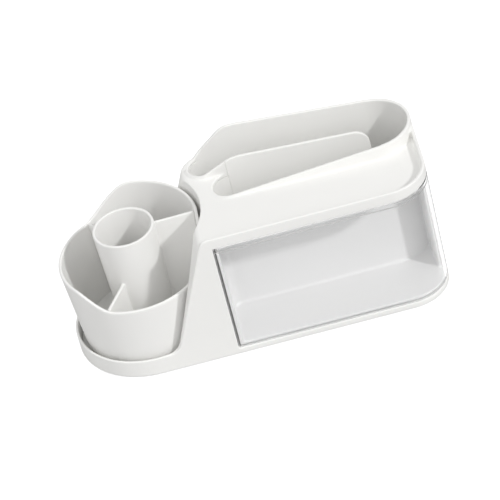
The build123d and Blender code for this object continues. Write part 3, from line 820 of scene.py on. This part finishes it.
# %% [markdown]
# ## Feet
# Six soft feet are seated in the base plate. Raised rings on their underside grip the desk. A ring is a
# small circle swept along a larger one, and the same foot is placed on the middle of each packed foot.

# %% Foot tree
FOOT_SIDES, GRIP_SIDES = 64, 12
GRIP_RINGS = (0.3, 0.55, 0.8)         # shares of the foot's radius


def grip_foot_tree():
    """A soft disc with raised rings below, on each point; the point is the middle of its underside."""
    labels = ("Foot Radius", "Foot Height", "Ring")
    tree, given, result = start_tree("grip_feet", {label: "Float" for label in labels})
    thickness = calc(tree, "SUBTRACT", given["Foot Height"], given["Ring"])
    disc = add_node(tree, "GeometryNodeMeshCylinder", {"Vertices": FOOT_SIDES, "Radius": given["Foot Radius"],
                                                       "Depth": thickness})
    rise = calc(tree, "MULTIPLY", calc(tree, "ADD", given["Foot Height"], given["Ring"]), 0.5)
    parts = [moved(tree, disc.outputs["Mesh"], vector(tree, Z=rise))]
    section = add_node(tree, "GeometryNodeCurvePrimitiveCircle",
                       {"Resolution": GRIP_SIDES, "Radius": given["Ring"]})
    for share in GRIP_RINGS:
        radius = calc(tree, "MULTIPLY", given["Foot Radius"], share)
        loop = add_node(tree, "GeometryNodeCurvePrimitiveCircle",
                        {"Resolution": FOOT_SIDES, "Radius": radius})
        ring = add_node(tree, "GeometryNodeCurveToMesh", {"Curve": loop.outputs["Curve"],
                                                          "Profile Curve": section.outputs["Curve"]})
        parts.append(moved(tree, ring.outputs[0], vector(tree, Z=given["Ring"])))
    feet = add_node(tree, "GeometryNodeInstanceOnPoints", {"Points": given["Geometry"],
                                                           "Instance": joined(tree, parts)})
    end_tree(tree, feet.outputs[0], given, result)
    return tree


# %% Feet with grip rings
GRIP_RING = 0.00025                   # radius of a ring's own section
foot_nodes = sorted(name for name in nodes if name.startswith("foot_"))
foot_places = []
for name in foot_nodes:
    low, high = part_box(name)
    foot_places.append((*middle_of(low, high)[:2], low.z))
grip_feet = points_piece("grip_feet", foot_places)
run_tree(grip_feet, grip_foot_tree(), {"Foot Radius": (high.x - low.x) / 2, "Foot Height": high.z - low.z,
                                       "Ring": GRIP_RING, "Finish": rubber_finish})
stand_for(grip_feet, rubber_finish, *foot_nodes)

# %% [markdown]
# ## Clear panel
# The panel is one section carried along the shell's front and round its corner. Clear plastic shows every
# edge as a bright or dark line, so each edge needs a real rounding, the ends too. The section is drawn as a
# loop of points and carried along the path in mesh code, because at the ends the loop also has to shrink.
# The faces of its bottom rim get the milkier finish, which paints a highlight along the rim.

# %% Panel section
PANEL_WALL, PANEL_RIM_HEIGHT, PANEL_RIM_DEPTH = 0.0024, 0.0040, 0.0008
PANEL_ROUND = 0.0004
ROUND_STEPS = 4


def rounded_loop(corners, inset):
    """A loop of points through (depth, height, is_hollow) corners, rounded and shrunk by inset."""
    loop = []
    count = len(corners)
    for index, (depth, height, hollow) in enumerate(corners):
        here = Vector((depth, height))
        before = (Vector(corners[index - 1][:2]) - here).normalized()
        after = (Vector(corners[(index + 1) % count][:2]) - here).normalized()
        inward = -(before + after) if hollow else before + after
        reach = PANEL_ROUND + inset if hollow else PANEL_ROUND - inset
        corner = here + inward * inset
        middle = corner + (before + after) * reach
        for step in range(ROUND_STEPS + 1):
            share = step / ROUND_STEPS * math.pi / 2
            loop.append(middle - after * reach * math.cos(share) - before * reach * math.sin(share))
    return loop


# %% Panel path
PANEL_CORNER = 0.0253                 # radius of the shell's corner
CORNER_STEPS = 28


def panel_stations(start_x, corner_x, front_y, end_angle):
    """Places along the panel's outer face: (point, inward direction, inset), closer together at its ends."""
    quarter = [step / ROUND_STEPS * math.pi / 2 for step in range(ROUND_STEPS + 1)]
    ends = [(PANEL_ROUND * (1 - math.cos(share)), PANEL_ROUND * (1 - math.sin(share))) for share in quarter]
    stations = [(Vector((start_x + along, front_y)), Vector((0, 1)), inset) for along, inset in ends]
    turns = [(end_angle * step / CORNER_STEPS, 0.0) for step in range(CORNER_STEPS)]
    turns += [(end_angle - along / PANEL_CORNER, inset) for along, inset in reversed(ends)]
    corner_middle = Vector((corner_x, front_y + PANEL_CORNER))
    for turn, inset in turns:
        out = Vector((math.sin(turn), -math.cos(turn)))
        stations.append((corner_middle + out * PANEL_CORNER, -out, inset))
    return stations


# %% Helper: carry a section along stations
PANEL_WELD = 1e-7                     # finer than the roundings' steps


def carry_section(name, corners, stations):
    """A closed mesh from one section carried through all stations."""
    shape = bmesh.new()
    rows = []
    for point, inward, inset in stations:
        row = []
        for spot in rounded_loop(corners, inset):
            place = point + inward * spot.x
            row.append(shape.verts.new((place.x, place.y, spot.y)))
        rows.append(row)
    for one, two in zip(rows, rows[1:]):
        for index in range(len(one)):
            after = (index + 1) % len(one)
            shape.faces.new((one[index], two[index], two[after], one[after]))
    shape.faces.new(list(reversed(rows[0])))
    shape.faces.new(rows[-1])
    bmesh.ops.remove_doubles(shape, verts=shape.verts, dist=PANEL_WELD)
    bmesh.ops.recalc_face_normals(shape, faces=shape.faces)
    mesh = bpy.data.meshes.new(name)
    shape.to_mesh(mesh)
    shape.free()
    for face in mesh.polygons:
        face.use_smooth = True
    return new_piece(name, mesh)


# %% Clear panel with its painted rim highlight
low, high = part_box("drawer_front")
inner = PANEL_WALL + PANEL_RIM_DEPTH
band = high.z - PANEL_RIM_HEIGHT
panel_corners = [(0, low.z, False), (PANEL_WALL, low.z, False), (PANEL_WALL, band, True),
                 (inner, band, False), (inner, high.z, False), (0, high.z, False)]
end_angle = math.acos(1 - (high.y - low.y) / PANEL_CORNER)
stations = panel_stations(low.x, cad_box[1].x - PANEL_CORNER, low.y, end_angle)
panel = carry_section("clear_panel", panel_corners, stations)
even_shading(panel)
keep_result(panel)
stand_for(panel, panel_finish, "drawer_front")
# the bottom rim's faces get the painted highlight finish
panel.data.materials.append(rim_highlight_finish)
rim_faces = [face for face in panel.data.polygons if face.center.z < low.z + PANEL_ROUND]
for face in rim_faces:
    face.material_index = 1
print("rim faces of the panel:", len(rim_faces))
